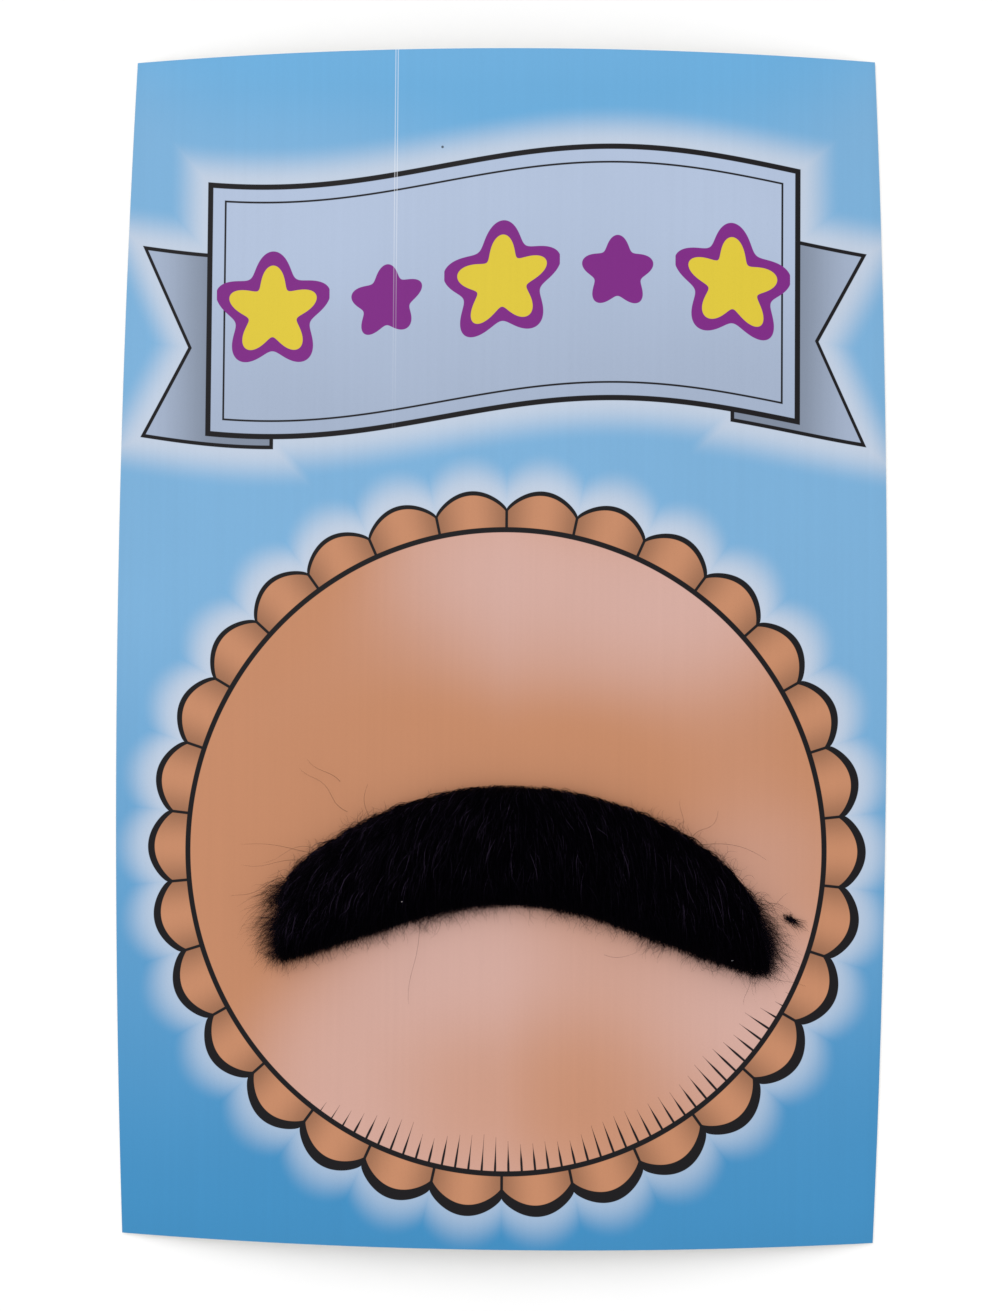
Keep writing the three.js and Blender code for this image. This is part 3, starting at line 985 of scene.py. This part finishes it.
class MOUSTACHE_OT_card(bpy.types.Operator):
    """Bows a board of the card's size, gives it its thickness and prints its front"""

    bl_idname = "moustache.card"
    bl_label = "Backing card"

    def execute(self, context):
        card = context.scene.moustache_card
        bow = Bow(card)
        start_clean()
        bpy.ops.mesh.primitive_grid_add(x_subdivisions=1, y_subdivisions=card.rows, size=1)
        piece = context.object
        piece.name = "printed_card"
        with editing():
            self.bow_sheet(piece, card, bow)
            self.swell(piece, card, bow)
        if piece.data.polygons[0].normal.z < 0:
            piece.data.flip_normals()
        thicken = piece.modifiers.new("board", "SOLIDIFY")
        thicken.thickness = card.thickness
        thicken.offset = 1
        soften = piece.modifiers.new("cut_edge", "BEVEL")
        soften.width = card.edge_round
        soften.segments = 2
        soften.limit_method = "ANGLE"
        soften.angle_limit = math.radians(60)
        for modifier in (thicken.name, soften.name):
            bpy.ops.object.modifier_apply(modifier=modifier)
        bpy.ops.object.shade_smooth_by_angle(angle=math.radians(35))
        tone = srgb(222, 220, 213)
        back = bare_board("board_back", tone, (1, 1, 1))
        edge = bare_board("board_edge", srgb(232, 231, 227), (0.05, 0.05, 8))
        settle(piece, "printed_card", printed_board(card), back, edge)
        for face in piece.data.polygons:
            face.material_index = 0 if face.normal.z > 0.9 else 1 if face.normal.z < -0.9 else 2
        check_fit(piece, "backing_card", 0.1 * MM)
        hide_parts("backing_card")
        return {"FINISHED"}

    def bow_sheet(self, piece, card, bow):
        """Turns the left edge of a flat grid over the bow, in even steps."""
        pick(piece, lambda co: co.x > 0)
        bpy.ops.mesh.delete(type="VERT")
        bpy.ops.mesh.select_all(action="SELECT")
        bpy.ops.transform.resize(value=(1, card.length, 1), center_override=(0, 0, 0))
        bpy.ops.transform.translate(value=(0.5 - bow.half, 0, 0))
        centre = (0, 0, bow.rise - bow.radius)
        bpy.ops.mesh.spin(steps=card.strips, angle=2 * bow.angle, center=centre, axis=(0, -1, 0))
        bpy.ops.mesh.select_all(action="SELECT")
        bpy.ops.mesh.remove_doubles(threshold=0.01 * MM)
        bpy.ops.mesh.normals_make_consistent(inside=False)

    def swell(self, piece, card, bow):
        """Lets the short sides and then the long sides bulge a little."""
        for i in range(card.strips + 1):
            side = 2 * i / card.strips - 1
            x = bow.radius * math.sin(side * bow.angle)
            pick(piece, lambda co: abs(co.x - x) < 0.1 * MM)
            grow = 1 + card.end_bulge * (1 - side**2) / (card.length / 2)
            bpy.ops.transform.resize(value=(1, grow, 1), center_override=(0, 0, 0))
        step = card.length / card.rows
        for i in range(card.rows + 1):
            y = (i / card.rows - 0.5) * card.length
            pick(piece, lambda co: abs(co.y - y) < step * 0.4)
            grow = bow.half_at(y) / bow.half
            bpy.ops.transform.resize(value=(grow, 1, 1), center_override=(0, 0, 0))


class MOUSTACHE_OT_tape(bpy.types.Operator):
    """Gives the strip of tape under the moustache its finish"""

    bl_idname = "moustache.tape"
    bl_label = "Tape"

    def execute(self, context):
        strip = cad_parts["adhesive_tape"]
        strip.data.materials.clear()
        strip.data.materials.append(tape_film())
        return {"FINISHED"}


class MOUSTACHE_OT_core(bpy.types.Operator):
    """Bridges sections along the crescent into the dark mass under the hairs"""

    bl_idname = "moustache.core"
    bl_label = "Pile core"

    def execute(self, context):
        band = Band(context.scene)
        stations = 35
        start_clean()
        bpy.ops.mesh.primitive_circle_add(vertices=24, radius=1, location=(0, 0, 0))
        piece = context.object
        piece.name = "pile_core"
        with editing():
            bpy.ops.mesh.select_all(action="SELECT")
            bpy.ops.mesh.delete(type="VERT")
            for i in range(stations):
                side = 2 * i / (stations - 1) - 1
                self.section(piece, band, side * (float(band.end(side, 0)) - 1.2 * MM))
            bpy.ops.mesh.select_all(action="SELECT")
            bpy.ops.mesh.bridge_edge_loops()
            bpy.ops.mesh.select_all(action="SELECT")
            bpy.ops.mesh.fill_holes(sides=0)
            bpy.ops.mesh.select_all(action="SELECT")
            bpy.ops.mesh.normals_make_consistent(inside=False)
        bpy.ops.object.shade_smooth_by_angle(angle=math.radians(50))
        settle(piece, "black_pile", knitted_core(context.scene.moustache_pile))
        check_fit(piece, "moustache_fur", 0)
        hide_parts("moustache_fur")
        return {"FINISHED"}

    def section(self, piece, band, x):
        """One section of the crescent: a flat underside and a round back, upright at x."""
        base, top_margin, hem_margin = 0.1 * MM, 0.55 * MM, 0.4 * MM
        height_share, middle_share, arch = 0.74, 0.25, 1.5
        upright = (0, math.pi / 2, 0)
        high = float(band.top(x)) - top_margin
        low = float(band.bottom(x)) + hem_margin
        wide, y = high - low, (high + low) / 2
        tall = float(band.height(x, 0.5)) * height_share
        middle = Vector(band.place(x, y, base + tall * middle_share))
        foot = Vector(band.place(x, y, base))
        bpy.ops.mesh.select_all(action="DESELECT")
        bpy.ops.mesh.primitive_circle_add(vertices=24, radius=wide / 2, location=middle, rotation=upright)
        bpy.ops.transform.resize(value=(1, 1, arch * tall / wide), center_override=middle)
        near = 0.05 * MM
        pick(piece, lambda co: abs(co.x - middle.x) < near and co.z < middle.z - near)
        bpy.ops.transform.resize(value=(1, 1, 0), center_override=foot)


class MOUSTACHE_OT_pile(bpy.types.Operator):
    """Grows the combed hairs over the crescent, in sections from left to right"""

    bl_idname = "moustache.pile"
    bl_label = "Pile"

    def execute(self, context):
        band = Band(context.scene)
        pile = context.scene.moustache_pile
        paths, radii, tones = pile_hairs(band, pile, np.random.default_rng(pile.seed))
        order = np.argsort(paths[:, 0, 0], kind="stable")
        material = hair(pile, "black_hair", 0.012)
        names = ("pile_left_end", "pile_left", "pile_middle", "pile_right", "pile_right_end")
        for name, part in zip(names, np.array_split(order, len(names))):
            piece = settle(hair_mesh(name, paths[part], radii[part], tones[part]), "black_pile", material)
            check_fit(piece, "moustache_fur", 3 * MM)
        return {"FINISHED"}


class MOUSTACHE_OT_fringe(bpy.types.Operator):
    """Adds the fuzz on both edges, the wisps past both ends and the stray hairs"""

    bl_idname = "moustache.fringe"
    bl_label = "Fringe"

    def execute(self, context):
        band = Band(context.scene)
        pile = context.scene.moustache_pile
        rng = np.random.default_rng(pile.seed + 1)
        fine, wispy = pile.fine, pile.fine * 1.1
        material = hair(pile, "fine_hair", 0.02)
        groups = {
            "stray_hairs": stray_hairs(band, rng, fine * 1.15),
            "shed_tuft": shed_hairs(band, rng, fine * 1.6),
            "fuzz_upper": upper_fuzz(band, rng, 1500, fine),
            "fuzz_lower": lower_fuzz(band, rng, 3000, fine * 0.9),
            "wisps_left": end_wisps(
                band, rng, 1700, side=-1, thickest=0.66, curl=0.7, long_share=0.6, radius=wispy
            ),
            "wisps_right": end_wisps(
                band, rng, 2500, side=1, thickest=0.5, curl=1.6, long_share=0.66, radius=wispy
            ),
            "tucked_hairs": tucked_hairs(band, rng, 2000, pile.radius * 1.4),
        }
        for name, (paths, radii) in groups.items():
            # Each fine hair has its own tone, varying at random, with painted shade at its root and tip.
            tones = rng.uniform(0, 0.22, (len(paths), 1)) * root_and_tip_shade(paths.shape[1])
            piece = settle(hair_mesh(name, paths, radii, tones), "black_pile", material)
            check_fit(piece, "moustache_fur", 12 * MM)
        return {"FINISHED"}


class MOUSTACHE_OT_lint(bpy.types.Operator):
    """Drops a few pale specks of lint on the pile"""

    bl_idname = "moustache.lint"
    bl_label = "Lint"

    def execute(self, context):
        band = Band(context.scene)
        pile = context.scene.moustache_pile
        rng = np.random.default_rng(pile.seed + 2)
        count, curl, radius, above = 6, 1.2, 0.055 * MM, 0.35 * MM
        x, y = wander(rng, *set_off(LINT), np.full(len(LINT), curl), count)
        top = band.height(x, np.clip(band.down_at(x, y), 0, 1)) + above
        radii = tapering(rng, radius, len(LINT), count)
        piece = hair_mesh("lint", band.place(x, y, top), radii, np.ones(x.shape))
        settle(piece, "black_pile", lint_fibre())
        return {"FINISHED"}


class MOUSTACHE_PT_panel(bpy.types.Panel):
    """Lists the operators that build the carded moustache"""

    bl_label = "Carded moustache"
    bl_idname = "MOUSTACHE_PT_panel"
    bl_space_type = "VIEW_3D"
    bl_region_type = "UI"
    bl_category = "Moustache"

    def draw(self, context):
        for operator in OPERATORS:
            self.layout.operator(operator.bl_idname)
        for name in SETTINGS:
            group = getattr(context.scene, name)
            box = self.layout.box()
            for field in group.bl_rna.properties:
                if field.identifier not in ("name", "rna_type"):
                    box.prop(group, field.identifier)


OPERATORS = (
    MOUSTACHE_OT_stage,
    MOUSTACHE_OT_card,
    MOUSTACHE_OT_tape,
    MOUSTACHE_OT_core,
    MOUSTACHE_OT_pile,
    MOUSTACHE_OT_fringe,
    MOUSTACHE_OT_lint,
)
SETTINGS = {
    "moustache_card": CardSettings,
    "moustache_shape": MoustacheSettings,
    "moustache_pile": PileSettings,
    "moustache_stage": StageSettings,
}


def register():
    for cls in (*SETTINGS.values(), *OPERATORS, MOUSTACHE_PT_panel):
        bpy.utils.register_class(cls)
    for name, group in SETTINGS.items():
        setattr(bpy.types.Scene, name, PointerProperty(type=group))


def unregister():
    for name in SETTINGS:
        delattr(bpy.types.Scene, name)
    for cls in (MOUSTACHE_PT_panel, *reversed(OPERATORS), *reversed(SETTINGS.values())):
        bpy.utils.unregister_class(cls)


def main():
    register()
    bpy.ops.moustache.stage()
    bpy.ops.moustache.card()
    bpy.ops.moustache.tape()
    bpy.ops.moustache.core()
    bpy.ops.moustache.pile()
    bpy.ops.moustache.fringe()
    bpy.ops.moustache.lint()
    start_clean()


if __name__ == "__main__":
    main()
